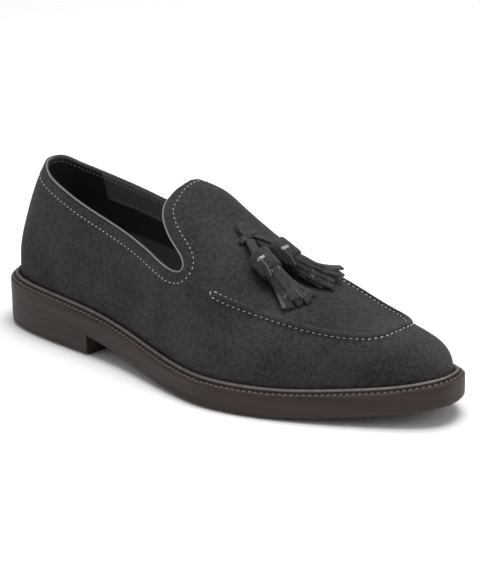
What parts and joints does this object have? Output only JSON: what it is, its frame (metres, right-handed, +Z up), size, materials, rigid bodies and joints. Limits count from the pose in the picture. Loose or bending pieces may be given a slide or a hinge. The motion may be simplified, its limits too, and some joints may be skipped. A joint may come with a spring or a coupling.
{
  "type": "tassel loafer",
  "caption": "Slip-on shoe with a hollow suede upper, long vamp tongue, raised apron seam, knotted tie with two fringed tassels, stitched welt, and a low-heeled rubber sole.",
  "frame": {"origin": "on the floor, under the middle of the shoe's length and width", "axes": "+X along the shoe from heel to toe, +Y to the inner (medial) side of the foot, +Z up from the floor"},
  "size_m": [0.309, 0.1088, 0.0996],
  "materials": {
    "heel_rubber": "smooth satin",
    "sole_rubber": "smooth satin",
    "welt_rubber": "satin",
    "insole_leather": "smooth matte",
    "upper_suede": "napped suede, matte",
    "tassel_suede": "napped suede, matte"
  },
  "bodies": {
    "root": {"heel": "heel_rubber", "outsole": "sole_rubber", "welt": "welt_rubber", "insole": "insole_leather", "upper": "upper_suede", "tassel_tie": "tassel_suede", "tassel_lateral": "tassel_suede", "tassel_medial": "tassel_suede"}
  },
  "joints": []
}
